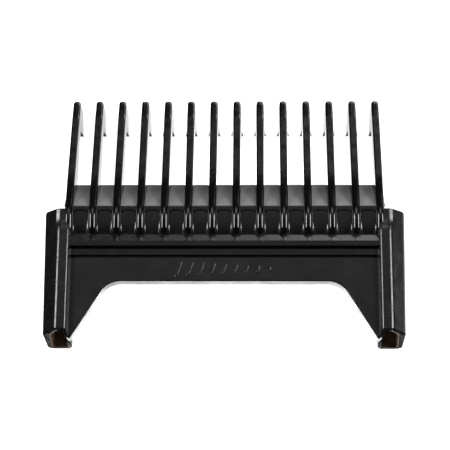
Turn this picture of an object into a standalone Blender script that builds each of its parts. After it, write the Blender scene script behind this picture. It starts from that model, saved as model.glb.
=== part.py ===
"""Clip-on guard comb for a hair clipper, lying on its back with the teeth towards +Y.

Lengths are in metres. The design is drawn with Y counted from the open ends of the legs towards the
tooth tips, and Z counted from the plane that the comb lies on up to its front face. One empty then
centres the whole comb lengthwise on the world's origin.
"""

import math

import bmesh
import bpy
from mathutils import Matrix, Vector

MM = 0.001

# Clearance between neighbouring members.
GAP = 0.3 * MM

# Across the comb, from the blade bay outwards.
BAY_WIDTH = 46.0 * MM
SNAP_WALL = 0.6 * MM
LEG_HOLLOW = 2.8 * MM
SIDE_WALL = 0.9 * MM

# Along the comb, from the leg ends to the top edge of the spine bar.
NOTCH_HEIGHT = 8.7 * MM
PLATE_HEIGHT = 3.65 * MM
BAR_HEIGHT = 2.95 * MM
PANEL_HEIGHT = 4.3 * MM
SPINE_REACH = 4.4 * MM

# Through the comb, from the resting plane to the top of the ribs.
BAY_DEPTH = 5.8 * MM
PLATE_THICKNESS = 2.2 * MM
RIB_RISE = 1.2 * MM
RIB_THICKNESS = 0.9 * MM

# Notch between the legs.
NOTCH_CORNER_INSET = 5.28 * MM
NOTCH_FILLET = 3.6 * MM
LEG_ANGLE = math.radians(58.4)
FILLET_STEPS = 6

# Cross bar, root panel and spine bar.
STEP_HEIGHT = 0.7 * MM
STEP_RISE = 0.1 * MM
BAR_RISE = 0.85 * MM
BAR_CHAMFER = 0.8 * MM
BAR_UNDERCUT = 0.25 * MM
PANEL_FALL = 0.1 * MM
PANEL_RIM_RISE = 0.05 * MM
SPINE_SHOULDER_FALL = 0.2 * MM
SPINE_TIP_FALL = 3.6 * MM
SPINE_TIP_THICKNESS = 0.3 * MM
SPINE_BACK_FALL = 0.75 * MM

# Ribs and shoulders of the legs.
RIB_WIDTH = 1.95 * MM
RIB_CHAMFER = 0.2 * MM
SHOULDER_FALL = 2.86 * MM
SHOULDER_START_FALL = 0.24 * MM
REAR_ROUND = 1.2 * MM
REAR_FLOOR = 0.6 * MM
END_WALL = 0.9 * MM
LEG_LEAN = 0.125

# Snap walls and their nibs.
SNAP_FLARE = 0.2 * MM
NIB_LENGTH = 8.0 * MM
NIB_START = 6.0 * MM
NIB_REACH = 0.5 * MM
NIB_HEIGHT = 1.0 * MM

# Teeth. Distances along a tooth start at its root bend, and depths are square to its front edge.
TOOTH_COUNT = 14
TOOTH_OVERHANG = 0.5 * MM
TOOTH_LENGTH = 20.6 * MM
TOOTH_SLOPE = math.radians(16.3)
TOOTH_FRONT_WIDTH = 1.07 * MM
TOOTH_DRAFT = 0.09
ROOT_RISE = 1.0 * MM
ROOT_SETBACK = 0.45 * MM
CREST_RISE = 1.1 * MM
CREST_LENGTH = 3.2 * MM
FOOT_RISE = 0.55 * MM
SHAFT_DEPTH_AT_SPINE = 2.9 * MM
SHAFT_DEPTH_AT_BARB = 1.8 * MM
BARB_START = 15.6 * MM
BARB_DEPTH = 3.9 * MM
BARB_BEND = 18.9 * MM
BARB_BEND_DEPTH = 3.0 * MM
NOSE_RADIUS = 0.9 * MM
NOSE_STEPS = 6

# Raised scale on the plate: slanted bars that shorten from left to right.
SCALE_BARS = 9
SCALE_PITCH = 1.7 * MM
SCALE_BAR_WIDTH = 0.5 * MM
SCALE_TALLEST = 2.5 * MM
SCALE_SHORTEST = 0.9 * MM
SCALE_SLANT = 0.35
SCALE_RISE = 0.12 * MM
SCALE_ROOT = 0.3 * MM

# Stations that follow from the sizes above.
BAY_EDGE = BAY_WIDTH / 2
HALF_WIDTH = BAY_EDGE + SNAP_WALL + LEG_HOLLOW + SIDE_WALL
WEB_EDGE = BAY_EDGE - GAP
PLATE_LOW = NOTCH_HEIGHT
PLATE_TOP = PLATE_LOW + PLATE_HEIGHT
BAR_LOW = PLATE_TOP + GAP
BAR_TOP = BAR_LOW + BAR_HEIGHT
PANEL_LOW = BAR_TOP + GAP
PANEL_TOP = PANEL_LOW + PANEL_HEIGHT
SPINE_LOW = PANEL_TOP + GAP
WEB_BACK = BAY_DEPTH
WEB_FRONT = WEB_BACK + PLATE_THICKNESS
RIB_TOP = WEB_FRONT + RIB_RISE
RIB_BACK = RIB_TOP - RIB_THICKNESS
RIB_INNER = BAY_EDGE + GAP
RIB_OUTER = RIB_INNER + RIB_WIDTH
SIDE_INNER = HALF_WIDTH - SIDE_WALL
NOTCH_CORNER = WEB_EDGE - NOTCH_CORNER_INSET
OUTER_TOOTH = BAY_EDGE + TOOTH_OVERHANG
TOOTH_PITCH = 2 * OUTER_TOOTH / (TOOTH_COUNT - 1)
ROOT_BEND = Vector((PANEL_TOP - ROOT_SETBACK, WEB_FRONT + ROOT_RISE))

BLACK = (0.012, 0.012, 0.013, 1.0)
GREY = (0.085, 0.086, 0.088, 1.0)
GLOSSY = 0.22
SATIN = 0.38
MATTE = 0.5


def arc(centre, radius, start, end, steps):
    """Points of a circular arc in a plane, from one angle to another, both ends included."""
    points = []
    for step in range(steps + 1):
        angle = start + (end - start) * step / steps
        points.append((centre[0] + radius * math.cos(angle), centre[1] + radius * math.sin(angle)))
    return points


def plastic(name, colour, roughness):
    """A moulded plastic with its own colour and gloss."""
    material = bpy.data.materials.new(name)
    material.use_nodes = True
    shader = material.node_tree.nodes["Principled BSDF"]
    shader.inputs["Base Color"].default_value = colour
    shader.inputs["Roughness"].default_value = roughness
    shader.inputs["Metallic"].default_value = 0.0
    return material


def prism_mesh(name, outline, along, low, high):
    """A flat outline carried from low to high along one axis.

    The outline holds the two other coordinates of each point, in X, Y, Z order.
    """
    bm = bmesh.new()
    corners = []
    for first, second in outline:
        spot = [first, second]
        spot.insert("XYZ".index(along), low)
        corners.append(bm.verts.new(spot))
    cap = bm.faces.new(corners)
    grown = bmesh.ops.extrude_face_region(bm, geom=[cap])
    moved = [item for item in grown["geom"] if isinstance(item, bmesh.types.BMVert)]
    step = Vector((0, 0, 0))
    step["XYZ".index(along)] = high - low
    bmesh.ops.translate(bm, verts=moved, vec=step)
    bmesh.ops.recalc_face_normals(bm, faces=bm.faces)
    mesh = bpy.data.meshes.new(name)
    bm.to_mesh(mesh)
    bm.free()
    return mesh


def put(name, mesh, parent, colour, roughness, origin=(0, 0, 0)):
    """Makes a member from a mesh, with the object's origin moved to a chosen point of the design."""
    mesh.transform(Matrix.Translation(-Vector(origin)))
    member = bpy.data.objects.new(name, mesh)
    member.location = origin
    member.parent = parent
    member.data.materials.append(plastic(name, colour, roughness))
    bpy.context.scene.collection.objects.link(member)
    return member


def mirrored(outline, side):
    """The same outline on the right (side 1) or the left (side -1) of the comb."""
    return [(side * x, other) for x, other in outline]


def join_hidden_solid(member, extra):
    """Joins a hidden helper solid onto a member with a Boolean union."""
    extra.hide_render = True
    extra.display_type = "WIRE"
    join = member.modifiers.new("Union", "BOOLEAN")
    join.operation = "UNION"
    join.object = extra
    join.solver = "EXACT"


def notch_corner_arc():
    """Fillet between the plate's lower edge and the leg's slanted edge, on the right, tangent to both."""
    tangent = NOTCH_FILLET * math.tan(LEG_ANGLE / 2)
    centre = (NOTCH_CORNER - tangent, PLATE_LOW - NOTCH_FILLET)
    return arc(centre, NOTCH_FILLET, math.pi / 2, math.pi / 2 - LEG_ANGLE, FILLET_STEPS)


def leg_edge_at(height):
    """Distance from the middle to the slanted edge of a leg, at a height above the leg ends."""
    return NOTCH_CORNER + (PLATE_LOW - height) / math.tan(LEG_ANGLE)


def front_plate(parent):
    """Flat plate between the legs, with the raised scale moulded on it."""
    edge = notch_corner_arc()[0][0]
    outline = [(-edge, PLATE_LOW), (edge, PLATE_LOW), (edge, PLATE_TOP), (-edge, PLATE_TOP)]
    mesh = prism_mesh("front_plate", outline, "Z", WEB_BACK, WEB_FRONT)
    plate = put("front_plate", mesh, parent, BLACK, MATTE)
    middle = (PLATE_LOW + PLATE_TOP) / 2
    for index in range(SCALE_BARS):
        share = index / (SCALE_BARS - 1)
        half = (SCALE_TALLEST + (SCALE_SHORTEST - SCALE_TALLEST) * share) / 2
        lean = SCALE_SLANT * half
        left = (index - (SCALE_BARS - 1) / 2) * SCALE_PITCH - SCALE_BAR_WIDTH / 2
        right = left + SCALE_BAR_WIDTH
        bar = [
            (left - lean, middle - half),
            (right - lean, middle - half),
            (right + lean, middle + half),
            (left + lean, middle + half),
        ]
        name = f"scale_bar_{index + 1}"
        raised = prism_mesh(name, bar, "Z", WEB_FRONT - SCALE_ROOT, WEB_FRONT + SCALE_RISE)
        join_hidden_solid(plate, put(name, raised, parent, BLACK, MATTE))


def gusset(side, prefix, parent):
    """Triangular web from the plate down the inner side of one leg, with the notch's fillet."""
    fillet = notch_corner_arc()
    inner = fillet[0][0] + GAP
    outline = [(inner, PLATE_LOW)]
    outline += [point for point in fillet if point[0] > inner]
    lowest = max(0.0, PLATE_LOW - (WEB_EDGE - NOTCH_CORNER) * math.tan(LEG_ANGLE))
    outline.append((min(leg_edge_at(lowest), WEB_EDGE), lowest))
    if leg_edge_at(lowest) < WEB_EDGE:
        outline.append((WEB_EDGE, lowest))
    outline += [(WEB_EDGE, PLATE_TOP), (inner, PLATE_TOP)]
    mesh = prism_mesh(prefix + "_gusset", mirrored(outline, side), "Z", WEB_BACK, WEB_FRONT)
    put(prefix + "_gusset", mesh, parent, BLACK, MATTE)


def cross_bar(parent):
    """Raised bar across the front: a low step, an undercut face, the bar's top and the chamfer above."""
    step_top = BAR_LOW + STEP_HEIGHT
    crest = WEB_FRONT + BAR_RISE
    outline = [
        (BAR_LOW, WEB_BACK),
        (BAR_TOP, WEB_BACK),
        (BAR_TOP, crest - BAR_CHAMFER),
        (BAR_TOP - BAR_CHAMFER, crest),
        (step_top + BAR_UNDERCUT, crest),
        (step_top, WEB_FRONT + STEP_RISE),
        (BAR_LOW, WEB_FRONT + STEP_RISE),
    ]
    mesh = prism_mesh("cross_bar", outline, "X", -WEB_EDGE, WEB_EDGE)
    put("cross_bar", mesh, parent, BLACK, GLOSSY)


def tooth_half_width(along, high):
    """Half the width of a tooth at a point of its side, which widens with depth under the front edge."""
    offset = Vector((along, high)) - ROOT_BEND
    depth = -offset.x * math.sin(TOOTH_SLOPE) - offset.y * math.cos(TOOTH_SLOPE)
    return TOOTH_FRONT_WIDTH / 2 + TOOTH_DRAFT * depth


def tooth_point(length, depth):
    """Point of a tooth's side view, from its distance along the tooth and its depth."""
    across = math.sin(TOOTH_SLOPE)
    down = math.cos(TOOTH_SLOPE)
    return (
        ROOT_BEND.x + length * down - depth * across,
        ROOT_BEND.y - length * across - depth * down,
    )


def spine_front(share):
    """Point of the spine bar's sloped front, from its foot (0) to its top edge (1)."""
    foot = WEB_FRONT - SPINE_SHOULDER_FALL
    return (SPINE_LOW + SPINE_REACH * share, foot + (WEB_FRONT - SPINE_TIP_FALL - foot) * share)


def tooth_outline():
    """Side view of a tooth: foot, crest, straight front edge, round nose, barb, shaft and seat."""
    rise_over_panel = GAP + PANEL_RIM_RISE
    slope = math.atan2(spine_front(1)[1] - spine_front(0)[1], SPINE_REACH)
    off_spine = Vector((-math.sin(slope), math.cos(slope))) * GAP
    seat_top = Vector(spine_front(1)) + off_spine
    seat_foot = Vector(spine_front(0)) + off_spine
    past_spine = seat_top.x + GAP
    shaft_length = (past_spine - ROOT_BEND.x + SHAFT_DEPTH_AT_SPINE * math.sin(TOOTH_SLOPE)) / math.cos(
        TOOTH_SLOPE
    )
    outline = [
        (PANEL_LOW, WEB_FRONT + FOOT_RISE),
        (ROOT_BEND.x - CREST_LENGTH, WEB_FRONT + CREST_RISE),
        tuple(ROOT_BEND),
    ]
    for length, depth in arc(
        (TOOTH_LENGTH - NOSE_RADIUS, NOSE_RADIUS), NOSE_RADIUS, -math.pi / 2, math.pi / 4, NOSE_STEPS
    ):
        outline.append(tooth_point(length, depth))
    outline += [
        tooth_point(BARB_BEND, BARB_BEND_DEPTH),
        tooth_point(BARB_START, BARB_DEPTH),
        tooth_point(BARB_START, SHAFT_DEPTH_AT_BARB),
        tooth_point(shaft_length, SHAFT_DEPTH_AT_SPINE),
        tuple(seat_top),
        tuple(seat_foot),
        (PANEL_TOP, WEB_FRONT + rise_over_panel),
        (PANEL_LOW, WEB_FRONT + GAP - PANEL_FALL),
    ]
    return outline


def teeth(parent):
    """The comb teeth: equal fins with draft, spread evenly so that the outer two stand over the bay's edges."""
    outline = tooth_outline()
    for index in range(TOOTH_COUNT):
        name = f"tooth_{index + 1:02d}"
        mesh = prism_mesh(name, outline, "X", -1.0, 1.0)
        for vertex in mesh.vertices:
            vertex.co.x *= tooth_half_width(vertex.co.y, vertex.co.z)
        tooth = put(name, mesh, parent, BLACK, SATIN)
        tooth.location.x = index * TOOTH_PITCH - OUTER_TOOTH


def tooth_edge():
    """How far the outermost tooth's flank reaches at its widest, over the panel and the spine bar."""
    return OUTER_TOOTH + max(tooth_half_width(*point) for point in tooth_outline()[-5:])


def root_panel(parent):
    """Panel that the tooth feet stand on, between the cross bar and the spine bar."""
    outline = [
        (PANEL_LOW, WEB_BACK),
        (PANEL_TOP, WEB_BACK),
        (PANEL_TOP, WEB_FRONT + PANEL_RIM_RISE),
        (PANEL_LOW, WEB_FRONT - PANEL_FALL),
    ]
    mesh = prism_mesh("root_panel", outline, "X", -tooth_edge(), tooth_edge())
    put("root_panel", mesh, parent, BLACK, GLOSSY)


def spine_bar(parent):
    """Sloped bar that ties the teeth together, thinning to its top edge."""
    tip = spine_front(1)
    outline = [
        (SPINE_LOW, WEB_BACK - SPINE_BACK_FALL),
        (tip[0], tip[1] - SPINE_TIP_THICKNESS),
        tip,
        spine_front(0),
    ]
    mesh = prism_mesh("spine_bar", outline, "X", -tooth_edge(), tooth_edge())
    put("spine_bar", mesh, parent, GREY, MATTE)


def lean_end(mesh):
    """Leans the leg-end face of a member, so that it runs further up the comb towards the front."""
    for vertex in mesh.vertices:
        if vertex.co.y < GAP:
            vertex.co.y += LEG_LEAN * vertex.co.z


def rib(side, prefix, parent):
    """Raised rib down the front of one leg, narrower beside the foot of the outermost tooth."""
    head_inner = tooth_edge() + GAP
    outline = [
        (RIB_INNER, 0.0),
        (RIB_OUTER, 0.0),
        (RIB_OUTER, PANEL_TOP),
        (head_inner, PANEL_TOP),
        (head_inner, BAR_TOP - GAP),
        (RIB_INNER, BAR_TOP - GAP),
    ]
    name = prefix + "_rib"
    mesh = prism_mesh(name, mirrored(outline, side), "Z", RIB_BACK, RIB_TOP)
    bm = bmesh.new()
    bm.from_mesh(mesh)
    top_edges = [
        edge
        for edge in bm.edges
        if all(abs(vertex.co.z - RIB_TOP) < GAP / 10 for vertex in edge.verts)
        and abs(edge.verts[0].co.x - edge.verts[1].co.x) < GAP / 10
    ]
    bmesh.ops.bevel(bm, geom=top_edges, offset=RIB_CHAMFER, segments=1, affect="EDGES")
    bm.to_mesh(mesh)
    bm.free()
    lean_end(mesh)
    put(name, mesh, parent, BLACK, GLOSSY)


def flank(side, prefix, parent):
    """Fixed inner flank of one leg, from the rib back to the level of the plate's back."""
    name = prefix + "_flank"
    low = RIB_BACK - GAP
    outline = [
        (BAY_EDGE, WEB_BACK),
        (BAY_EDGE + SNAP_WALL, WEB_BACK),
        (BAY_EDGE + SNAP_WALL, low),
        (BAY_EDGE, low),
    ]
    mesh = prism_mesh(name, mirrored(outline, side), "Y", 0.0, BAR_TOP)
    put(name, mesh, parent, BLACK, SATIN)


def shoulder_line():
    """Outer face of the shoulder in cross-section: its top beside the rib and its foot at the side wall."""
    start = (RIB_OUTER + GAP, RIB_TOP - SHOULDER_START_FALL)
    end = (HALF_WIDTH, RIB_TOP - SHOULDER_START_FALL - SHOULDER_FALL)
    return start, end


def shoulder(side, prefix, parent):
    """Sloped shoulder between the rib and the outer side wall of one leg."""
    start, end = shoulder_line()
    slant = (start[1] - end[1]) / (end[0] - start[0])
    outline = [start, end, (end[0] - SIDE_WALL, end[1]), (start[0], start[1] - SIDE_WALL * slant)]
    name = prefix + "_shoulder"
    mesh = prism_mesh(name, mirrored(outline, side), "Y", 0.0, PANEL_TOP)
    lean_end(mesh)
    put(name, mesh, parent, BLACK, GLOSSY)


def side_wall(side, prefix, parent):
    """Outer wall of one leg, rounded at the rear, with the flat floor that the comb lies on."""
    top = shoulder_line()[1][1] - GAP
    centre = (HALF_WIDTH - REAR_ROUND, REAR_ROUND)
    outline = [(SIDE_INNER, top), (HALF_WIDTH, top)]
    outline += arc(centre, REAR_ROUND, 0.0, -math.pi / 2, FILLET_STEPS)
    floor_edge = BAY_EDGE + SNAP_FLARE + GAP
    outline += [(floor_edge, 0.0), (floor_edge, REAR_FLOOR)]
    outline += [(centre[0], REAR_FLOOR), (SIDE_INNER, REAR_ROUND)]
    name = prefix + "_side_wall"
    mesh = prism_mesh(name, mirrored(outline, side), "Y", 0.0, PANEL_TOP)
    lean_end(mesh)
    put(name, mesh, parent, BLACK, GLOSSY)


def end_wall(side, prefix, parent):
    """Wall that closes the hollow of one leg at its upper end, under the shoulder and beside the panel."""
    start, end = shoulder_line()
    slant = (start[1] - end[1]) / (end[0] - start[0])
    inner = tooth_edge() + GAP
    outer = SIDE_INNER - GAP
    clear_drop = SIDE_WALL * slant + GAP * math.hypot(1.0, slant)
    under_shoulder = start[1] - (outer - start[0]) * slant - clear_drop
    bottom = max(SIDE_WALL, REAR_ROUND) + GAP
    outline = [
        (inner, bottom),
        (outer, bottom),
        (outer, under_shoulder),
        (RIB_OUTER, min(RIB_BACK - GAP, under_shoulder + (outer - RIB_OUTER) * slant)),
        (RIB_OUTER, RIB_BACK - GAP),
        (inner, RIB_BACK - GAP),
    ]
    name = prefix + "_end_wall"
    mesh = prism_mesh(name, mirrored(outline, side), "Y", PANEL_TOP - END_WALL, PANEL_TOP)
    put(name, mesh, parent, BLACK, SATIN)


def snap_wall(side, prefix, parent):
    """Thin inner wall that flares to the rear and springs outwards about its front edge.

    Its nib hooks behind the blade.
    """
    top = WEB_BACK - GAP
    hinge = (side * (BAY_EDGE + SNAP_WALL / 2), NIB_START + NIB_LENGTH / 2, top)
    wall_end = PANEL_TOP - END_WALL - GAP
    low = REAR_FLOOR + GAP
    foot = BAY_EDGE + SNAP_FLARE
    outline = [(foot, low), (foot + SNAP_WALL, low), (BAY_EDGE + SNAP_WALL, top), (BAY_EDGE, top)]
    name = prefix + "_snap_wall"
    mesh = prism_mesh(name, mirrored(outline, side), "Y", 0.0, wall_end)
    wall = put(name, mesh, parent, BLACK, SATIN, hinge)
    hook = [
        (foot + SNAP_WALL / 2, low),
        (foot, low),
        (BAY_EDGE - NIB_REACH, low + NIB_HEIGHT / 2),
        (foot - SNAP_FLARE * NIB_HEIGHT / (top - low), low + NIB_HEIGHT),
        (foot + SNAP_WALL / 2 - SNAP_FLARE * NIB_HEIGHT / (top - low), low + NIB_HEIGHT),
    ]
    nib = prism_mesh(prefix + "_nib", mirrored(hook, side), "Y", NIB_START, NIB_START + NIB_LENGTH)
    join_hidden_solid(wall, put(prefix + "_nib", nib, parent, BLACK, SATIN, hinge))


for old in list(bpy.data.objects):
    bpy.data.objects.remove(old)

frame = bpy.data.objects.new("comb_frame", None)
bpy.context.scene.collection.objects.link(frame)
frame.location.y = -max(point[0] for point in tooth_outline()) / 2

front_plate(frame)
cross_bar(frame)
root_panel(frame)
spine_bar(frame)
teeth(frame)
for side, prefix in ((-1, "left"), (1, "right")):
    gusset(side, prefix, frame)
    rib(side, prefix, frame)
    flank(side, prefix, frame)
    shoulder(side, prefix, frame)
    side_wall(side, prefix, frame)
    end_wall(side, prefix, frame)
    snap_wall(side, prefix, frame)
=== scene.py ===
"""Finished look of the clip-on guard comb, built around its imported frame.

Shapes are worked out in millimetres and written to the meshes in metres. X runs across the comb, Y
from the open ends of the legs to the tooth tips, and Z from the plane it lies on to its front face.
"""

import math

import bmesh
import bpy
import numpy as np
from mathutils import Matrix, Vector


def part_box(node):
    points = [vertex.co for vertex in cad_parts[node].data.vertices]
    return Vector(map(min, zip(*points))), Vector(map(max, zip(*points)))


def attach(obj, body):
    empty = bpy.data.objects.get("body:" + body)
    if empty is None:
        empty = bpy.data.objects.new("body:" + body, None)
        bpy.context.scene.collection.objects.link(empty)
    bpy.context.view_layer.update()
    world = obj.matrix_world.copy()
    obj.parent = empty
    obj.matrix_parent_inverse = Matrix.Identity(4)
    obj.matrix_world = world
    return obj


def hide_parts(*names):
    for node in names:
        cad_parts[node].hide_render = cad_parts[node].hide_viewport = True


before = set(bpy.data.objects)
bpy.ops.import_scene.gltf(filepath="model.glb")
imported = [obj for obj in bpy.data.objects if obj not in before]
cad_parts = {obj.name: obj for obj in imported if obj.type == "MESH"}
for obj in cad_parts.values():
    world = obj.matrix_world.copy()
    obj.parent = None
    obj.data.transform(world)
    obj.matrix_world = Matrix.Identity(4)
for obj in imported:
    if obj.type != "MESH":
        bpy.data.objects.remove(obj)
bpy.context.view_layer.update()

# ---------------------------------------------------------------------------------------------
# Front web: the flat size plate and the two triangular gussets that run from it down the legs.
# It is one wall of black moulded plastic, with a finely spark-eroded face and softened free edges.
# ---------------------------------------------------------------------------------------------

METRE = 1000.0


def node_box(node):
    """Lowest and highest corner of a frame node, in millimetres."""
    low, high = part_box(node)
    return np.array(low) * METRE, np.array(high) * METRE


def solid(name, stacks, share=None, strip=False):
    """Closed surface through one or more stacks of rings, where stack[i, j] is point j of ring i.

    Neighbouring rings are joined by quads. The first and last ring of a stack are closed by one face,
    or with strip by quads between the first and second half of the ring. Faces end up outwards.
    share gives every point a value from 0 to 1, kept on the mesh as the attribute "finish".
    """
    points = []
    faces = []
    start = 0
    for stack in stacks:
        count, around = stack.shape[:2]
        index = start + np.arange(count * around).reshape(count, around)
        near = index[:-1]
        far = index[1:]
        quads = np.stack([near, np.roll(near, -1, 1), np.roll(far, -1, 1), far], -1)
        faces += quads.reshape(-1, 4).tolist()
        for ring in (index[0], index[-1]):
            if strip:
                half = around // 2
                one = ring[:half]
                other = ring[half:][::-1]
                faces += np.stack([one[:-1], one[1:], other[1:], other[:-1]], -1).tolist()
            else:
                faces.append(ring.tolist())
        points.append(stack.reshape(-1, 3))
        start += count * around
    mesh = bpy.data.meshes.new(name)
    mesh.from_pydata((np.concatenate(points) / METRE).tolist(), [], faces)
    if share is not None:
        layer = mesh.attributes.new("finish_and_painted_shade", "FLOAT", "POINT")
        layer.data.foreach_set("value", np.asarray(share, np.float32).reshape(-1))
    shape = bmesh.new()
    shape.from_mesh(mesh)
    bmesh.ops.remove_doubles(shape, verts=shape.verts, dist=1e-7)
    bmesh.ops.recalc_face_normals(shape, faces=shape.faces)
    if shape.calc_volume(signed=True) < 0:
        bmesh.ops.reverse_faces(shape, faces=shape.faces)
    shape.to_mesh(mesh)
    shape.free()
    mesh.shade_smooth()
    mesh.set_sharp_from_angle(angle=math.radians(40))
    piece = bpy.data.objects.new(name, mesh)
    bpy.context.scene.collection.objects.link(piece)
    return piece


def moulded(name, black, rough, grain, grain_size, mottle, mottle_size, ripple=0.0, ripple_size=4.0):
    """Black plastic: a gloss that varies in soft blotches, a fine grain, and slow sink ripples.

    The blotches shift the roughness by the share mottle. Grain and ripple are bump heights, and they
    and the sizes of the three patterns are in millimetres.
    """
    material = bpy.data.materials.new(name)
    material.use_nodes = True
    nodes = material.node_tree.nodes
    link = material.node_tree.links.new
    shader = nodes["Principled BSDF"]
    place = nodes.new("ShaderNodeTexCoord")
    blotch = nodes.new("ShaderNodeTexNoise")
    blotch.inputs["Scale"].default_value = METRE / mottle_size
    blotch.inputs["Detail"].default_value = 5.0
    link(place.outputs["Object"], blotch.inputs["Vector"])
    gloss = nodes.new("ShaderNodeMapRange")
    gloss.inputs["From Min"].default_value = 0.3
    gloss.inputs["From Max"].default_value = 0.7
    gloss.inputs["To Min"].default_value = rough * (1 - mottle)
    gloss.inputs["To Max"].default_value = rough * (1 + mottle)
    link(blotch.outputs["Fac"], gloss.inputs["Value"])
    link(gloss.outputs["Result"], shader.inputs["Roughness"])
    tone = nodes.new("ShaderNodeMix")
    tone.data_type = "RGBA"
    tone.inputs["A"].default_value = (black[0] * 0.8, black[1] * 0.8, black[2] * 0.8, 1.0)
    tone.inputs["B"].default_value = (black[0] * 1.2, black[1] * 1.2, black[2] * 1.2, 1.0)
    link(blotch.outputs["Fac"], tone.inputs["Factor"])
    link(tone.outputs["Result"], shader.inputs["Base Color"])
    last = None
    for size, height in ((ripple_size, ripple), (grain_size, grain)):
        if height == 0:
            continue
        noise = nodes.new("ShaderNodeTexNoise")
        noise.inputs["Scale"].default_value = METRE / size
        noise.inputs["Detail"].default_value = 2.0
        link(place.outputs["Object"], noise.inputs["Vector"])
        bump = nodes.new("ShaderNodeBump")
        bump.inputs["Strength"].default_value = 1.0
        bump.inputs["Distance"].default_value = height / METRE
        link(noise.outputs["Fac"], bump.inputs["Height"])
        if last is not None:
            link(last.outputs["Normal"], bump.inputs["Normal"])
        last = bump
    if last is not None:
        link(last.outputs["Normal"], shader.inputs["Normal"])
    return material


def fit(piece, material, slot, body, *nodes):
    """Finishes a piece: its material, the body it moves with and the nodes it stands for; slot is not
    used.
    """
    piece.data.materials.append(material)
    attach(piece, body)
    if nodes:
        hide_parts(*nodes)


WEB_EDGE_SOFT = 0.16
NOTCH_FILLET = 3.6
WEB_SEAM_DEPTH = 0.45

plate_low, plate_high = node_box("front_plate")
gusset_low, gusset_high = node_box("right_gusset")
bar_low, bar_high = node_box("cross_bar")
rib_low, rib_high = node_box("right_rib")
flank_low = node_box("right_flank")[0]
LEG_END = flank_low[1]
WEB_BACK = gusset_low[2]
WEB_FRONT = gusset_high[2]
WEB_SIDE = flank_low[0]
SEAM = plate_high[0]


def web_rings(across, low, slope):
    """Section of the web at each place across it: a rounded lower edge, and a rebate at the cross bar.

    Each section is one fixed loop of points. Points of the lower edge stand off the local edge height,
    stretched by one over the cosine of the edge's slope so that the rounding stays true, and points
    of the upper edge stand off the fixed height of the seam under the bar. A point held a little
    beyond each rounding keeps the flats flat.
    """
    turn = np.linspace(0, math.pi / 2, 6)
    soft = WEB_EDGE_SOFT
    rear = np.stack([soft * (1 - np.sin(turn)), WEB_BACK + soft * (1 - np.cos(turn))], 1)
    front = np.stack([soft * (1 - np.cos(turn)), WEB_FRONT - soft * (1 - np.sin(turn))], 1)
    hold = 0.04
    lower = np.concatenate([[[soft + hold, WEB_BACK]], rear, [[0, WEB_BACK + soft + hold]],
                            [[0, WEB_FRONT - soft - hold]], front, [[soft + hold, WEB_FRONT]]])
    seam_soft = 0.12
    gap = bar_low[1] - plate_high[1]
    seam = np.stack([-seam_soft + seam_soft * np.sin(turn), WEB_FRONT - seam_soft * (1 - np.cos(turn))], 1)
    upper = np.concatenate([[[-seam_soft - hold, WEB_FRONT]], seam,
                            [[0, WEB_FRONT - WEB_SEAM_DEPTH], [gap, WEB_FRONT - WEB_SEAM_DEPTH],
                             [gap, WEB_BACK]]])
    rings = np.zeros((len(across), len(lower) + len(upper), 3))
    rings[:, :, 0] = across[:, None]
    rings[:, :len(lower), 1] = low[:, None] + lower[None, :, 0] / np.cos(slope)[:, None]
    rings[:, len(lower):, 1] = plate_high[1] + upper[:, 0]
    rings[:, :len(lower), 2] = lower[:, 1]
    rings[:, len(lower):, 2] = upper[:, 1]
    return rings


spark_eroded = moulded(
    "spark_eroded_black", (0.0035, 0.0035, 0.0037), rough=0.31, grain=0.012, grain_size=0.16,
    mottle=0.16, mottle_size=2.5, ripple=0.02, ripple_size=7.0,
)

plate_across = np.linspace(-SEAM, SEAM, 31)
level = 0 * plate_across
plate = solid("size_plate", [web_rings(plate_across, plate_low[1] + level, level)])
fit(plate, spark_eroded, "matte_black", "comb", "front_plate")

# The notch's slanted edge leaves the fillet at the angle that takes it to the tip of the leg.
LEG_ANGLE = math.radians(58.4)
fillet_turn = np.linspace(0, LEG_ANGLE, 19)
fillet_across = SEAM + NOTCH_FILLET * np.sin(fillet_turn)
fillet_low = plate_low[1] - NOTCH_FILLET * (1 - np.cos(fillet_turn))
slant_across = np.linspace(fillet_across[-1], WEB_SIDE, 30)[1:]
slant_low = np.maximum(fillet_low[-1] - (slant_across - fillet_across[-1]) * math.tan(LEG_ANGLE), LEG_END)
gusset_across = np.concatenate([fillet_across, slant_across])
gusset_edge = np.concatenate([fillet_low, slant_low])
gusset_slope = np.concatenate([fillet_turn, LEG_ANGLE + 0 * slant_across])
for side, prefix in ((-1, "left"), (1, "right")):
    rings = web_rings(gusset_across, gusset_edge, gusset_slope)
    rings[:, :, 0] *= side
    gusset = solid(prefix + "_web", [rings])
    fit(gusset, spark_eroded, "matte_black", "comb", prefix + "_gusset")

# ---------------------------------------------------------------------------------------------
# Size scale: slanted bars raised on the plate, shorter towards the right, which show that this
# guard leaves the hair graduated. They are moulded with the plate and polished in the mould.
# ---------------------------------------------------------------------------------------------

SCALE_BARS = 9
SCALE_PITCH = 1.7
SCALE_HALF_WIDTH = 0.25
SCALE_TALLEST = 2.5
SCALE_SHORTEST = 0.9
SCALE_SLANT = 0.35
SCALE_RISE = 0.12
SCALE_SUNK = 0.15
SCALE_SOFT = 0.11
SCALE_SQUARENESS = 0.4

bar_turn = np.linspace(0, math.pi / 2, 4)
bar_inset = np.concatenate([[0.0], SCALE_SOFT * (1 - np.cos(bar_turn))])
bar_rise = np.concatenate([[-SCALE_SUNK], SCALE_RISE - SCALE_SOFT * (1 - np.sin(bar_turn))])
bar_width = SCALE_HALF_WIDTH - bar_inset[:, None]
middle_y = (plate_low[1] + plate_high[1]) / 2

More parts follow.
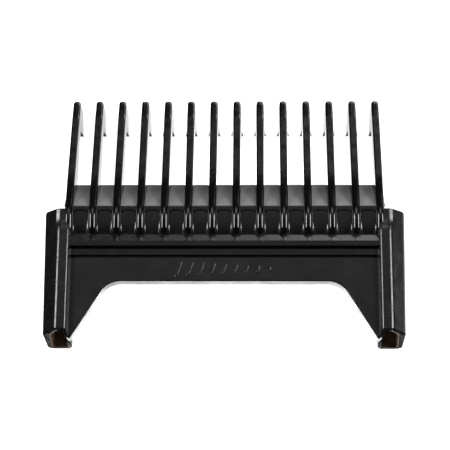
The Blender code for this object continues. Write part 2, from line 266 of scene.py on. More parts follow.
# A bar's outline is a squarish ring: the sine and cosine of the way round, each to a small power.
half_round = np.linspace(0, math.pi, 9)
all_round = np.concatenate([half_round, half_round + math.pi])
square_x = np.sign(np.cos(all_round)) * np.abs(np.cos(all_round)) ** SCALE_SQUARENESS
square_y = np.sign(np.sin(all_round)) * np.abs(np.sin(all_round)) ** SCALE_SQUARENESS
scale_stacks = []
for number in range(SCALE_BARS):
    share = number / (SCALE_BARS - 1)
    half = (SCALE_TALLEST + (SCALE_SHORTEST - SCALE_TALLEST) * share) / 2
    middle_x = (number - (SCALE_BARS - 1) / 2) * SCALE_PITCH
    y = square_y[None, :] * (half - bar_inset[:, None])
    x = square_x[None, :] * bar_width + SCALE_SLANT * y
    z = WEB_FRONT + bar_rise[:, None] + 0 * x
    scale_stacks.append(np.stack([middle_x + x, middle_y + y, z], -1))
scale_plastic = moulded(
    "polished_scale_black", (0.014, 0.014, 0.0145), rough=0.2, grain=0.004, grain_size=0.2,
    mottle=0.3, mottle_size=1.0,
)
scale = solid("size_scale", scale_stacks)
fit(scale, scale_plastic, "matte_black", "comb")

# ---------------------------------------------------------------------------------------------
# Cross bar: the stiffening bar over the plate. A low flat step, a steep face, a polished rounded
# crest and a chamfer that leads down to the pockets between the teeth, all in the same moulding.
# ---------------------------------------------------------------------------------------------

panel_low, panel_high = node_box("root_panel")
BAR_STEP = 1.05
BAR_STEP_RISE = 0.1
BAR_FACE_LEAN = 0.2
BAR_CHAMFER_WIDTH = 0.83
BAR_REAR_SUNK = 0.1
BAR_CREST = bar_high[2]
POCKET_LEVEL = WEB_FRONT + 0.33
CHAMFER_SLOPE = 0.56


def rounded(corners, radii, closed=True, steps=6):
    """Outline whose corners are replaced by arcs tangent to both sides, open or closed.

    The arc of radius r runs forward by r sin a along the first side while it turns aside by
    r (1 - cos a). A point is added just before and after each arc, so that flats stay flat.
    A corner of radius 0 is kept as one point, and so are the two ends of an open outline.
    """
    corners = np.asarray(corners, float)
    hold = 0.02
    points = []
    for place, radius in enumerate(radii):
        corner = corners[place]
        if radius == 0 or (not closed and place in (0, len(corners) - 1)):
            points.append(corner[None])
            continue
        into = corner - corners[place - 1]
        out = corners[(place + 1) % len(corners)] - corner
        into = into / np.linalg.norm(into)
        out = out / np.linalg.norm(out)
        turn = math.atan2(into[0] * out[1] - into[1] * out[0], into @ out)
        aside = math.copysign(1, turn) * np.array([-into[1], into[0]])
        angle = np.linspace(0, abs(turn), steps + 1)[:, None]
        start = corner - into * radius * math.tan(abs(turn) / 2)
        bend = start + radius * (np.sin(angle) * into + (1 - np.cos(angle)) * aside)
        points.append(np.concatenate([bend[:1] - hold * into, bend, bend[-1:] + hold * out]))
    return np.concatenate(points)


def across_bar(outline, across):
    """The outline, given in Y and Z, carried straight across the comb through the given places."""
    rings = np.zeros((len(across), len(outline), 3))
    rings[:, :, 0] = across[:, None]
    rings[:, :, 1:] = outline
    return rings


bar_outline = rounded(
    [
        (bar_low[1], WEB_BACK),
        (panel_low[1], WEB_BACK),
        (panel_low[1], POCKET_LEVEL - BAR_REAR_SUNK),
        (bar_high[1] - BAR_CHAMFER_WIDTH, BAR_CREST),
        (bar_low[1] + BAR_STEP + BAR_FACE_LEAN, BAR_CREST),
        (bar_low[1] + BAR_STEP, WEB_FRONT + BAR_STEP_RISE),
        (bar_low[1], WEB_FRONT + BAR_STEP_RISE),
    ],
    [0, 0, 0, 0.2, 0.14, 0.08, 0.1],
)
polished = moulded(
    "polished_black", (0.003, 0.003, 0.0032), rough=0.21, grain=0.006, grain_size=0.35,
    mottle=0.35, mottle_size=1.6, ripple=0.03, ripple_size=3.0,
)
BAR_SIDE = rib_low[0]
cross_bar = solid("front_bar", [across_bar(bar_outline, np.linspace(-BAR_SIDE, BAR_SIDE, 24))])
fit(cross_bar, polished, "gloss_black", "comb", "cross_bar")

# ---------------------------------------------------------------------------------------------
# Root panel: the strip that carries the feet of the teeth. A hollow pocket is sunk between each
# two teeth, so that every tooth stands on a slightly raised collar. Polished like the bar below.
# ---------------------------------------------------------------------------------------------

spine_low, spine_high = node_box("spine_bar")
first_low, first_high = node_box("tooth_01")
last_low, last_high = node_box("tooth_14")
TEETH = 14
FIRST_TOOTH = (first_low[0] + first_high[0]) / 2
TOOTH_PITCH = ((last_low[0] + last_high[0]) / 2 - FIRST_TOOTH) / (TEETH - 1)
COLLAR_HALF = 0.79
COLLAR_RISE = 0.16
POCKET_TOP = panel_high[1] - 0.62
RIM_END = panel_high[1] + 0.12
RIM_HEIGHT = WEB_FRONT + 0.62
RIM_SOFT = 0.16
RIM_DROP = 0.14
COLLAR_POINT = 0.95
COLLAR_SOFT = 0.06
COLLAR_NARROWING = 0.14
COLLAR_LIP = 0.07
POCKET_SOFT = 0.07
POCKET_CORNER = 0.25
POCKET_RISE = 0.22
POCKET_CURVE = 2.6
PANEL_UNDERSIDE = WEB_BACK + 0.1


def smooth(value, low, high):
    """Share from 0 to 1 as value goes from low to high, level at both ends (3 s s - 2 s s s)."""
    share = np.clip((value - low) / (high - low), 0, 1)
    return share * share * (3 - 2 * share)


# Columns of the grid stand at these distances from each tooth, closest where the collar's edge falls.
aside = np.array([
    0, 0.3, 0.6, 0.72, 0.78, 0.82, 0.86, 0.9, 0.93,
    0.96, 0.99, 1.02, 1.06, 1.1, 1.16, 1.3, 1.55, 1.8,
])
offsets = np.concatenate([-aside[::-1], aside[1:-1]])
panel_x = (FIRST_TOOTH + TOOTH_PITCH * np.arange(TEETH)[:, None] + offsets[None, :]).reshape(-1)
panel_x = np.clip(panel_x, -BAR_SIDE, BAR_SIDE)
panel_x = np.unique(np.round(np.append(panel_x, BAR_SIDE), 4))

# Rows of the grid run over the chamfer, up the pocket, and over the rim to the foot of the spine.
panel_y = np.concatenate([
    np.linspace(bar_high[1] - 0.85, panel_low[1], 18),
    np.linspace(panel_low[1] + 0.1, POCKET_TOP - 0.2, 24),
    np.linspace(POCKET_TOP - 0.16, RIM_END, 18),
])
grid_x, grid_y = np.meshgrid(panel_x, panel_y, indexing="ij")
nearest = np.abs((grid_x - FIRST_TOOTH + TOOTH_PITCH / 2) % TOOTH_PITCH - TOOTH_PITCH / 2)
up_pocket = np.clip((grid_y - panel_low[1]) / (POCKET_TOP - panel_low[1]), 0, 1)

# The pocket floor rises in a curve towards the rim. The collar and the rim stand above it, and the
# chamfer of the cross bar, with a low lip below each collar, takes over at the bar.
pocket_floor = POCKET_LEVEL + POCKET_RISE * (1 - (1 - up_pocket) ** POCKET_CURVE)
collar_top = POCKET_LEVEL + COLLAR_RISE + (RIM_HEIGHT - POCKET_LEVEL - COLLAR_RISE) * up_pocket
chamfer_face = POCKET_LEVEL + np.clip((bar_high[1] + 0.1 - grid_y) * CHAMFER_SLOPE, 0, None)
collar_half = COLLAR_HALF * np.clip(1 - (panel_low[1] + 0.15 - grid_y) / COLLAR_POINT, 0.02, 1)
collar_half = collar_half - COLLAR_NARROWING * up_pocket
beside = 1 - smooth(nearest, collar_half - COLLAR_SOFT, collar_half + COLLAR_SOFT)
cornered = grid_y + POCKET_CORNER * smooth(nearest, 1.25, 0.8)
above = smooth(cornered, POCKET_TOP - POCKET_SOFT, POCKET_TOP + POCKET_SOFT)
raised = np.maximum(beside, above)
height = pocket_floor * (1 - raised) + collar_top * raised
low_part = grid_y < panel_low[1] + 0.2
on_chamfer = np.maximum(chamfer_face + COLLAR_LIP * beside, POCKET_LEVEL + (COLLAR_RISE - 0.02) * beside)
height = np.where(low_part, np.maximum(on_chamfer, pocket_floor), height)
height = height - RIM_DROP * smooth(grid_y, RIM_END - RIM_SOFT, RIM_END) ** 2
rings = np.zeros((len(panel_x), len(panel_y) + 2, 3))
rings[:, :, 0] = panel_x[:, None]
rings[:, 1:-1, 1] = grid_y
rings[:, 1:-1, 2] = height
rings[:, 0, 1] = panel_y[0]
rings[:, 0, 2] = PANEL_UNDERSIDE
rings[:, -1, 1] = RIM_END
rings[:, -1, 2] = PANEL_UNDERSIDE
panel = solid("tooth_root_panel", [rings])
fit(panel, polished, "gloss_black", "comb", "root_panel")

# ---------------------------------------------------------------------------------------------
# Spine bar: the sloping bar that ties the teeth together and thins to a straight top edge. Its face
# has a moulded texture, and its pale grey colour is painted sheen for the light its slope catches.
# ---------------------------------------------------------------------------------------------

SPINE_EDGE_SOFT = 0.07
SPINE_EDGE_WIDTH = 0.3
SPINE_FOOT_RISE = 0.4
spine_outline = rounded(
    [
        (RIM_END, WEB_BACK),
        (spine_high[1], spine_low[2]),
        (spine_high[1], spine_low[2] + SPINE_EDGE_WIDTH),
        (RIM_END, WEB_FRONT + SPINE_FOOT_RISE),
    ],
    [0, 0, SPINE_EDGE_SOFT, 0],
)
# Painted sheen: the grey base colour stands in for the light the slope catches from beyond the tips.
sheen_painted_grey = moulded(
    "grey_painted_sheen_black", (0.12, 0.12, 0.123), rough=0.55, grain=0.008, grain_size=0.22,
    mottle=0.14, mottle_size=3.0, ripple=0.03, ripple_size=5.0,
)
SPINE_SIDE = -first_low[0] - 0.15
spine = solid("tooth_spine", [across_bar(spine_outline, np.linspace(-SPINE_SIDE, SPINE_SIDE, 28))])
fit(spine, sheen_painted_grey, "matte_grey", "comb", "spine_bar")

# ---------------------------------------------------------------------------------------------
# Teeth: fourteen long fins with a narrow flat front between rounded edges, sides that draft wider to
# the back, a humped foot on the panel, and a rounded polished nose with a barb behind it.
# ---------------------------------------------------------------------------------------------

TOOTH_SLOPE = math.radians(16.3)
TOOTH_LENGTH = 20.59
TOOTH_HALF = 0.56
TOOTH_DRAFT = 0.075
EDGE_SOFT = 0.2
FOOT_EDGE_SOFT = 0.24
TIP_EDGE_SOFT = 0.12
REAR_EDGE_SOFT = 0.12
BARB_START = 15.5
BARB_END = 16.1
BARB_FLARE = 0.03
NOSE = 0.9
NOSE_TAPER = 0.8
FOOT_LENGTH = 1.3
FOOT_NARROWING = 0.45
FOOT_SOFT_UNTIL = 1.5
FLAT_FULL_FROM = 5.5
POLISHED_TIP = 3.4
HUMP_SOFT = 0.3
CREST_SOFT = 5.0

ROOT_Y = panel_high[1] - 0.45
ROOT_Z = WEB_FRONT + 1.0
heading = np.array([math.cos(TOOTH_SLOPE), -math.sin(TOOTH_SLOPE)])
root = np.array([ROOT_Y, ROOT_Z])
tip = root + heading * TOOTH_LENGTH

# The front edge starts low on the chamfer, rises over a hump, and runs straight on to the tip.
foot = np.array([panel_low[1] - 0.62, WEB_FRONT + 0.3])
hump = np.array([panel_low[1] + 0.72, WEB_FRONT + 0.88])
crest = root - heading * 0.75
front_path = rounded([foot, hump, crest, tip], [0, HUMP_SOFT, CREST_SOFT, 0], closed=False, steps=12)
steps_along = np.linalg.norm(np.diff(front_path, axis=0), axis=1)
travelled = np.concatenate([[0], np.cumsum(steps_along)])
total = travelled[-1]
nose_sweep = np.linspace(0, math.pi / 2, 9)[1:]
from_tip = np.concatenate([
    np.linspace(total, TOOTH_LENGTH + 1.0, 14),
    np.linspace(TOOTH_LENGTH + 0.8, 14.5, 12),
    np.linspace(14.0, TOOTH_LENGTH - BARB_START, 16),
    [TOOTH_LENGTH - BARB_END, 4.3, 4.0, POLISHED_TIP + 0.1, POLISHED_TIP - 0.05],
    [2.9, 2.4, 2.0, 1.6, 1.2],
    NOSE * (1 - np.sin(nose_sweep * 0.98)) + 0.002,
])
travel = total - from_tip


def on_path(place):
    """Points of the front edge at the given travels from the foot, on straight lines between corners."""
    return np.stack([np.interp(place, travelled, front_path[:, axis]) for axis in (0, 1)], 1)


path = on_path(travel)
ahead = on_path(travel + 0.02) - on_path(travel - 0.02)
ahead = ahead / np.linalg.norm(ahead, axis=1)[:, None]
inward = np.stack([ahead[:, 1], -ahead[:, 0]], 1)
length = TOOTH_LENGTH - from_tip

# Depth of the tooth behind its front edge: seat on the panel, slope of the spine, shaft, barb, nose.
depth_at = np.array([-6.0, -0.4, 0.4, 5.25, 5.7, 14.0, BARB_START, BARB_END, 18.9, TOOTH_LENGTH])
depth_of = np.array([0.75, 0.85, 1.3, 3.35, 2.9, 1.9, 1.8, 3.9, 3.0, 2.3])
depth = np.interp(length, depth_at, depth_of)
into_nose = np.clip((length - (TOOTH_LENGTH - NOSE)) / NOSE, 0, 1)
curl = 1 - np.sqrt(1 - into_nose**2)
front_in = NOSE * curl
back_in = (depth_of[-1] - NOSE) * curl + 0.02 * into_nose
into_taper = np.clip((length - (TOOTH_LENGTH - NOSE_TAPER)) / NOSE_TAPER, 0, 1)
half_front = TOOTH_HALF * np.sqrt(np.clip(1 - into_taper**2, 0.02, 1))
half_front = half_front * (1 - FOOT_NARROWING * smooth(-travel, -FOOT_LENGTH, 0.1))
in_tip = smooth(length, TOOTH_LENGTH - POLISHED_TIP - 0.05, TOOTH_LENGTH - POLISHED_TIP + 0.05)
on_foot = 1 - smooth(length, FOOT_SOFT_UNTIL, FLAT_FULL_FROM)
soft = EDGE_SOFT + TIP_EDGE_SOFT * in_tip + FOOT_EDGE_SOFT * on_foot
soft = np.minimum(soft, half_front * 0.9)
bend = np.linspace(0, math.pi / 2, 7)
barb_share = smooth(length, BARB_START, BARB_END) * (1 - smooth(length, BARB_START + 0.1, TOOTH_LENGTH))
draft = TOOTH_DRAFT + BARB_FLARE * barb_share


def tooth_rings(middle):
    """Sections of one tooth from its foot to its nose.

    Each section runs from the rear left corner up the left side, round the front and down the right.
    The side stands at the front half-width plus the draft times the depth, and the front and rear
    corners are quarter circles. A section lies square to the front edge at its own place along it.
    """
    across_soft = soft[:, None] * (1 - np.cos(bend))[None, :]
    down_soft = soft[:, None] * (1 - np.sin(bend))[None, :]
    deep = np.maximum(depth - back_in, front_in + 0.03)
    start = front_in[:, None]
    rear_soft = REAR_EDGE_SOFT * half_front[:, None] / TOOTH_HALF
    rear_bend = np.linspace(math.pi / 2, 0, 4)[None, :]
    rear_down = deep[:, None] - rear_soft * (1 - np.sin(rear_bend))
    flat_share = np.array([0.9, 0.5, 0.1])[None, :]
    flat_down = start + soft[:, None] + (deep[:, None] - rear_soft - start - soft[:, None]) * flat_share
    side_down = np.concatenate([rear_down, flat_down], 1)
    rear_out = half_front[:, None] - rear_soft * (1 - np.cos(rear_bend))
    side_out = np.concatenate([rear_out, half_front[:, None] + 0 * flat_down], 1)
    front_down = start + down_soft
    front_out = half_front[:, None] - across_soft
    down = np.concatenate([side_down, front_down], 1)
    out = np.concatenate([side_out, front_out], 1) + draft[:, None] * down
    face_out = np.concatenate([out[:, -1:] * 0.96, out[:, -1:] * 0.5], 1)
    face_down = np.concatenate([down[:, -1:], down[:, -1:]], 1)
    down = np.concatenate([down, face_down], 1)
    out = np.concatenate([out, face_out], 1)
    down = np.concatenate([down, down[:, ::-1]], 1)
    out = np.concatenate([-out, out[:, ::-1]], 1)
    rings = np.zeros(down.shape + (3,))
    rings[:, :, 0] = middle + out
    rings[:, :, 1] = path[:, :1] + inward[:, :1] * down
    rings[:, :, 2] = path[:, 1:] + inward[:, 1:] * down
    return rings


def tooth_plastic():
    """Black plastic that is satin on the flat front of a tooth and polished at its nose and crest.

    The mesh attribute finish, 0 to 1, blends the roughness between the two shares below.
    """
    material = moulded(
        "tooth_black", (0.003, 0.003, 0.0032), rough=0.25, grain=0.005, grain_size=0.25,
        mottle=0.25, mottle_size=1.2, ripple=0.012, ripple_size=1.4,
    )
    nodes = material.node_tree.nodes
    link = material.node_tree.links.new
    shader = nodes["Principled BSDF"]
    gloss = shader.inputs["Roughness"].links[0].from_socket
    finish_and_painted_shade = nodes.new("ShaderNodeAttribute")
    finish_and_painted_shade.attribute_name = "finish_and_painted_shade"
    blend = nodes.new("ShaderNodeMapRange")
    blend.inputs["To Min"].default_value = 0.55
    blend.inputs["To Max"].default_value = 1.35
    link(finish_and_painted_shade.outputs["Fac"], blend.inputs["Value"])
    product = nodes.new("ShaderNodeMath")
    product.operation = "MULTIPLY"
    link(gloss, product.inputs[0])
    link(blend.outputs["Result"], product.inputs[1])
    link(product.outputs["Value"], shader.inputs["Roughness"])
    return material


tooth_black = tooth_plastic()
SATIN_FROM = 4.0
SATIN_FULL_FROM = 7.5
TIP_POLISH = 0.35
on_flat = smooth(length, SATIN_FROM, SATIN_FULL_FROM) * (1 - TIP_POLISH * in_tip)
for number in range(TEETH):
    rings = tooth_rings(FIRST_TOOTH + TOOTH_PITCH * number)
    around = rings.shape[1]
    matte = np.zeros(around)
    matte[around // 2 - 3:around // 2 + 3] = 1.0
    name = f"tooth_{number + 1:02d}"
    tooth = solid("comb_" + name, [rings], share=on_flat[:, None] * matte[None, :])
    fit(tooth, tooth_black, "satin_black", "comb", name)

# ---------------------------------------------------------------------------------------------
# Leg shells: on each side one thin wall runs from the web over the rib, down the shoulder and the
# outer side and round to the flat floor that the comb lies on. The leg is open at its lower end.
# ---------------------------------------------------------------------------------------------

wall_low, wall_high = node_box("right_side_wall")
LEG_TOP = wall_high[1] - 0.4
LEG_LEAN = 0.125
END_SOFT = 0.2
TOP_CORNER = 0.4
RIB_DIP = 0.25
DIP_START = 0.83
DIP_END = 0.9
LEG_TAPER = 0.25
FLANK_WALL = 0.6
FLANK_DROP = 0.25
RIB_WALL = 0.7
SIDE_WALL = 0.9
LEG_FLOOR = 0.6
SIDE_OUT = wall_high[0]
RIB_TOP = rib_high[2]
shoulder_foot = np.array([SIDE_OUT, WEB_FRONT - 1.3])
rib_corner = np.array([rib_high[0] - 0.3, RIB_TOP])
split = rib_corner + (shoulder_foot - rib_corner) * 0.16
wall_split = np.array([SIDE_OUT, WEB_FRONT - 2.3])
inner_rib = (rib_low[0] + 0.5, RIB_TOP - 0.85)
inner_split = np.array([SIDE_OUT - 2.4, WEB_FRONT - 0.02])
inner_foot = np.array([SIDE_OUT - 1.3, WEB_FRONT - 1.5])
inner_wall_split = np.array([SIDE_OUT - 1.22, WEB_FRONT - 2.6])
floor_edge = wall_low[0]

# Each member: outer corners, inner corners, radii of the outer corners, radii of the inner ones.
members = {
    "flank": (
        [(WEB_SIDE, WEB_BACK - FLANK_DROP), (WEB_SIDE, WEB_FRONT)],
        [(WEB_SIDE + FLANK_WALL, WEB_BACK - FLANK_DROP), (WEB_SIDE + RIB_WALL, WEB_FRONT)],
        [0, 0],
        [0, 0],
    ),
    "rib": (
        [(WEB_SIDE, WEB_FRONT), (rib_low[0], RIB_TOP), rib_corner, split],
        [(WEB_SIDE + RIB_WALL, WEB_FRONT), inner_rib, inner_split + (-0.1, 0.2), inner_split],
        [0, 0.52, 0.95, 0],
        [0, 0.1, 0.1, 0],
    ),
    "shoulder": (
        [split, shoulder_foot, wall_split],
        [inner_split, inner_foot, inner_wall_split],
        [0, 1.3, 0],
        [0, 1.0, 0],
    ),
    "side_wall": (
        [wall_split, (SIDE_OUT, 0), (floor_edge, 0)],
        [inner_wall_split, (SIDE_OUT - SIDE_WALL, LEG_FLOOR), (floor_edge, LEG_FLOOR)],
        [0, 0.9, 0],
        [0, 0.6, 0],
    ),
}


def leg_rings(member, side):
    """Sections of one member of the leg shell, from the leaning leg end to the rounded top corner.

    A section runs along the outer line and back along the inner one. Near the two ends the section
    closes in by r (1 - sin a) of the wall as it runs out by r (1 - cos a), which rounds the rim.
    The leg end leans back with height, except beside the web, and the top falls away at the corner.
    The outer side narrows towards the leg end, and the rib dips near the top.
    """
    outer_corners, inner_corners, outer_radii, inner_radii = members[member]
    outer = rounded(outer_corners, outer_radii, closed=False)
    inner = rounded(inner_corners, inner_radii, closed=False)
    wall = np.linalg.norm(inner - outer, axis=1)[:, None]
    sweep = np.linspace(0, math.pi / 2, 6)
    close_in = END_SOFT * (1 - np.sin(sweep))
    run_out = END_SOFT * (1 - np.cos(sweep))
    between = [0.01, 0.4, 0.8, 0.84, 0.86, 0.88, 0.9, 0.92, 0.96, 0.99]
    straight = np.zeros(len(between))
    inset = np.concatenate([close_in, straight, close_in[::-1]])
    back_off = np.concatenate([run_out, straight, -run_out[::-1]])
    along = np.concatenate([np.zeros(len(sweep)), between, np.ones(len(sweep))])
    rings = []
    for shrink, shift, share in zip(inset, back_off, along):
        at_top = share == 1
        near = outer + (inner - outer) * shrink / wall
        far = inner + (outer - inner) * (0 if at_top else shrink) / wall
        line = np.concatenate([near, far[::-1]])
        past_web = smooth(line[:, 0], WEB_SIDE, WEB_SIDE + 1.2)
        over_web = smooth(line[:, 1], WEB_FRONT, RIB_TOP)
        low_end = LEG_END + LEG_LEAN * line[:, 1] * np.maximum(past_web, over_web)
        out = np.clip((line[:, 0] - (SIDE_OUT - TOP_CORNER)) / TOP_CORNER, 0, 0.999)
        high_end = LEG_TOP - TOP_CORNER * (1 - np.sqrt(1 - out**2))
        ring = np.zeros((len(line), 3))
        outward = smooth(line[:, 0], rib_corner[0], SIDE_OUT)
        ring[:, 0] = side * (line[:, 0] - LEG_TAPER * (1 - share) * outward)
        ring[:, 1] = low_end * (1 - share) + high_end * share + shift
        dip = RIB_DIP * smooth(share, DIP_START, DIP_END) * smooth(line[:, 1], WEB_FRONT + 0.6, RIB_TOP)
        ring[:, 2] = line[:, 1] - dip
        rings.append(ring)
    return np.array(rings)


def leg_plastic():
    """Black plastic outside, and inside the leg, on the core side, a brown that is painted shade.

    The mesh attribute finish is 1 on the inside of the shell and 0 on its outside.
    """
    material = moulded(
        "leg_black", (0.0065, 0.0065, 0.0067), rough=0.24, grain=0.007, grain_size=0.3,
        mottle=0.3, mottle_size=1.8, ripple=0.035, ripple_size=2.2,
    )
    nodes = material.node_tree.nodes
    link = material.node_tree.links.new
    shader = nodes["Principled BSDF"]
    outside = shader.inputs["Base Color"].links[0].from_socket
    inside = nodes.new("ShaderNodeAttribute")
    inside.attribute_name = "finish_and_painted_shade"
    # Painted shade: the brown on the inside stands in for the dim hollow seen through the open leg end.
    painted_shade_tint = nodes.new("ShaderNodeMix")
    painted_shade_tint.data_type = "RGBA"
    painted_shade_tint.inputs["B"].default_value = (0.28, 0.2, 0.145, 1.0)
    link(inside.outputs["Fac"], painted_shade_tint.inputs["Factor"])
    link(outside, painted_shade_tint.inputs["A"])
    link(painted_shade_tint.outputs["Result"], shader.inputs["Base Color"])
    return material


leg_black = leg_plastic()
for side, prefix in ((-1, "left"), (1, "right")):
    for member in members:
        slot = "satin_black" if member == "flank" else "gloss_black"
        rings = leg_rings(member, side)
        # Mask of the inside of the shell, which gets the brown painted shade.
        inside = np.zeros(rings.shape[:2])
        inside[2:, rings.shape[1] // 2:] = 1.0
        shell = solid(prefix + "_leg_" + member, [rings], share=inside, strip=True)
        fit(shell, leg_black, slot, "comb", prefix + "_" + member)

# ---------------------------------------------------------------------------------------------
# End walls: a wall closes each leg at its upper end, under the rib and the shoulder, flush with the
# rim of the shell around it and moulded with it.
# ---------------------------------------------------------------------------------------------

END_WALL = 0.9
end_outline = rounded(
    [
        (WEB_SIDE, LEG_FLOOR),
        (SIDE_OUT - SIDE_WALL, LEG_FLOOR),
        inner_wall_split,
        inner_foot,
        inner_split,
        inner_rib,
        (WEB_SIDE, WEB_FRONT),
    ],
    [0.15, 0.6, 0, 1.0, 0, 0.1, 0],
)
end_rings = np.zeros((2, len(end_outline), 3))
end_out = np.clip((end_outline[:, 0] - (SIDE_OUT - TOP_CORNER)) / TOP_CORNER, 0, 0.999)
end_top = LEG_TOP - TOP_CORNER * (1 - np.sqrt(1 - end_out**2))
for place, back in ((0, 0.0), (1, END_WALL)):
    end_rings[place, :, 0] = end_outline[:, 0]
    end_rings[place, :, 1] = end_top - back
    end_rings[place, :, 2] = end_outline[:, 1]
for side, prefix in ((-1, "left"), (1, "right")):
    end_wall = solid(prefix + "_leg_end_wall", [end_rings * (side, 1, 1)])
    fit(end_wall, leg_black, "satin_black", "comb", prefix + "_end_wall")

# ---------------------------------------------------------------------------------------------
# Snap walls: the thin inner wall of each leg hangs from the flank by a living hinge and springs
# outwards, so that the nib on its rear edge can pass the blade and hook behind it.
# ---------------------------------------------------------------------------------------------

snap_low, snap_high = node_box("right_snap_wall")
SNAP_THICKNESS = 0.6
SNAP_SOFT = 0.15
SNAP_SHRINK = 0.05
HINGE_GAP = 0.27
NIB_LENGTH = 8.0
NIB_START = LEG_END + 6.0
NIB_HEIGHT = 1.0
NIB_RAMP = 0.08
NIB_SOFT = 0.12
NIB_ROOT = 0.1
NIB_LIFT = 0.02
snap_foot = snap_high[0] - SNAP_THICKNESS
snap_top = WEB_BACK - HINGE_GAP
snap_outline = rounded(
    [
        (snap_foot, snap_low[2]),
        (snap_high[0], snap_low[2]),
        (WEB_SIDE + SNAP_THICKNESS, snap_top),
        (WEB_SIDE, snap_top),
    ],
    [SNAP_SOFT, SNAP_SOFT, SNAP_SOFT, SNAP_SOFT],
)
snap_sweep = np.linspace(0, math.pi / 2, 5)
snap_centre = snap_outline.mean(0)
snap_size = 1 - SNAP_SHRINK * (1 - np.sin(snap_sweep))
snap_in = SNAP_SOFT * (1 - np.cos(snap_sweep))
sizes = np.concatenate([snap_size, snap_size[::-1]])
places = np.concatenate([snap_low[1] + snap_in, snap_high[1] - snap_in[::-1]])
snap_rings = np.zeros((len(sizes), len(snap_outline), 3))
snap_rings[:, :, [0, 2]] = snap_centre + (snap_outline - snap_centre) * sizes[:, None, None]
snap_rings[:, :, 1] = places[:, None]
nib_outline = rounded(
    [
        (snap_foot + SNAP_THICKNESS / 2, snap_low[2] + NIB_LIFT),
        (snap_foot, snap_low[2] + NIB_LIFT),
        (snap_low[0], snap_low[2] + NIB_HEIGHT / 2),
        (snap_foot - 0.2, snap_low[2] + NIB_HEIGHT),
        (snap_foot + NIB_ROOT, snap_low[2] + NIB_HEIGHT),
    ],
    [0, 0, NIB_SOFT, 0, 0],
)

# The nib stands out from the wall by a tenth of its reach at its ends and by all of it in between.
nib_sweep = np.linspace(0, 1, 7)
nib_share = np.concatenate([nib_sweep * NIB_RAMP, 1 - nib_sweep[::-1] * NIB_RAMP])
nib_reach = 0.1 + 0.9 * np.sin(np.concatenate([nib_sweep, nib_sweep[::-1]]) * math.pi / 2)
nib_rings = np.zeros((len(nib_share), len(nib_outline), 3))
nib_base = snap_foot + NIB_ROOT
nib_in = np.minimum(nib_outline[:, 0] - nib_base, 0)
nib_behind = np.maximum(nib_outline[:, 0] - nib_base, 0)
nib_rings[:, :, 0] = nib_base + nib_behind + nib_in * nib_reach[:, None]
nib_rings[:, :, 1] = NIB_START + NIB_LENGTH * nib_share[:, None]
nib_rings[:, :, 2] = nib_outline[:, 1]
snap_black = moulded(
    "snap_black", (0.0055, 0.0055, 0.0058), rough=0.6, grain=0.006, grain_size=0.25,
    mottle=0.2, mottle_size=2.0, ripple=0.015, ripple_size=3.0,
)
snap_black.node_tree.nodes["Principled BSDF"].inputs["Specular IOR Level"].default_value = 0.15
for side, prefix in ((-1, "left"), (1, "right")):
    snap = solid(prefix + "_spring_wall", [snap_rings * (side, 1, 1), nib_rings * (side, 1, 1)])
    fit(snap, snap_black, "satin_black", prefix + "_latch", prefix + "_snap_wall")

# ---------------------------------------------------------------------------------------------
# Studio: a plain white floor that the comb lies on, soft round lights at an endless distance, and
# the camera high above and a little in front of the legs, looking down along the teeth.
# ---------------------------------------------------------------------------------------------

FLOOR_HALF = 1.5
FLOOR_LEVEL = -0.00002
floor_mesh = bpy.data.meshes.new("studio_floor")
floor_mesh.from_pydata(
    [(x * FLOOR_HALF, y * FLOOR_HALF, FLOOR_LEVEL) for x, y in ((-1, -1), (1, -1), (1, 1), (-1, 1))],
    [],
    [(0, 1, 2, 3)],
)
floor = bpy.data.objects.new("studio_floor", floor_mesh)
bpy.context.scene.collection.objects.link(floor)
floor_white = bpy.data.materials.new("floor_white")
floor_white.use_nodes = True
floor_shader = floor_white.node_tree.nodes["Principled BSDF"]
floor_shader.inputs["Base Color"].default_value = (0.9, 0.9, 0.9, 1.0)
floor_shader.inputs["Roughness"].default_value = 0.9
floor_shader.inputs["Specular IOR Level"].default_value = 0.0
floor_shader.inputs["Emission Color"].default_value = (1.0, 1.0, 1.0, 1.0)
floor_shader.inputs["Emission Strength"].default_value = 1.0
floor.data.materials.append(floor_white)
floor.visible_glossy = False

world = bpy.data.worlds.new("studio_light")
bpy.context.scene.world = world
world.use_nodes = True
sky = world.node_tree
backdrop = sky.nodes["Background"]
backdrop.inputs["Color"].default_value = (1.0, 1.0, 1.0, 1.0)
direction = sky.nodes.new("ShaderNodeTexCoord")


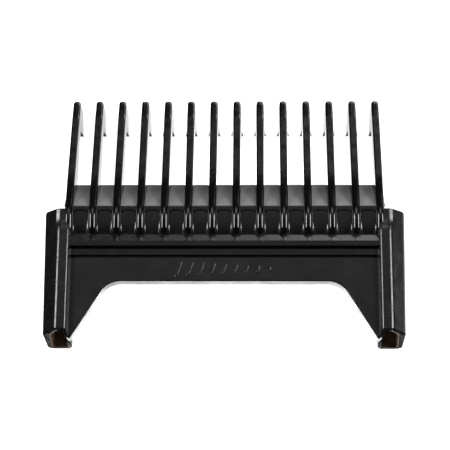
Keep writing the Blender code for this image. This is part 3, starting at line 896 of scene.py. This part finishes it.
def lobe(aim, inner, outer, strength):
    """A soft round light: full inside the inner angle from its aim, fading to none at the outer one.

    Its share is a smooth step of the cosine of the angle between the direction and the aim.
    """
    aim = Vector(aim).normalized()
    cosine = sky.nodes.new("ShaderNodeVectorMath")
    cosine.operation = "DOT_PRODUCT"
    cosine.inputs[1].default_value = aim
    sky.links.new(direction.outputs["Generated"], cosine.inputs[0])
    share = sky.nodes.new("ShaderNodeMapRange")
    share.interpolation_type = "SMOOTHSTEP"
    share.inputs["From Min"].default_value = math.cos(math.radians(outer))
    share.inputs["From Max"].default_value = math.cos(math.radians(inner))
    share.inputs["To Min"].default_value = 0.0
    share.inputs["To Max"].default_value = strength
    sky.links.new(cosine.outputs["Value"], share.inputs["Value"])
    return share.outputs["Result"]


lights = [
    # From below, as a bright table would light it: the free edges, and the sides of the teeth.
    lobe((0.0, 0.03, -1.0), 16, 21, 4.5),
    lobe((0.0, 0.33, -0.94), 20, 30, 1.7),
    # Level with the comb, from beyond the tips: the sloping spine bar and the chamfer.
    lobe((0.38, 0.92, 0.0), 12, 34, 5.0),
    # From above, beyond the tips: the crests that face up, and weakly the flat faces.
    lobe((0.0, 0.55, 0.835), 3, 11, 2.2),
    lobe((0.0, 0.34, 0.94), 4, 20, 0.36),
    # From high on both sides: the bright lines on the ribs, the collars and the tooth edges.
    lobe((-0.71, 0.15, 0.68), 6, 16, 18.0),
    lobe((0.71, 0.15, 0.68), 6, 16, 18.0),
    # From low on the right: a faint sheen on the sides that face that way.
    lobe((0.75, 0.25, -0.6), 10, 22, 1.4),
    lobe((0.8, 0.27, -0.53), 12, 34, 0.3),
]
total_light = lights[0]
for light in lights[1:]:
    add = sky.nodes.new("ShaderNodeMath")
    add.operation = "ADD"
    sky.links.new(total_light, add.inputs[0])
    sky.links.new(light, add.inputs[1])
    total_light = add.outputs["Value"]
sky.links.new(total_light, backdrop.inputs["Strength"])

camera_data = bpy.data.cameras.new("studio_camera")
camera_data.lens = 118.4
camera_data.sensor_width = 36.0
camera_data.clip_start = 0.01
camera_data.clip_end = 10.0
camera = bpy.data.objects.new("studio_camera", camera_data)
right = Vector((0.99976, 0.00577, -0.02101)).normalized()
backward = Vector((0.02179, -0.27673, 0.9607)).normalized()
up = backward.cross(right).normalized()
right = up.cross(backward)
turned = Matrix((right, up, backward)).transposed().to_4x4()
camera_place = (0.00498, LEG_END / METRE - 0.04436, 0.22241)
camera.matrix_world = Matrix.Translation(camera_place) @ turned
bpy.context.scene.collection.objects.link(camera)
bpy.context.scene.camera = camera
bpy.context.scene.view_settings.view_transform = "Standard"
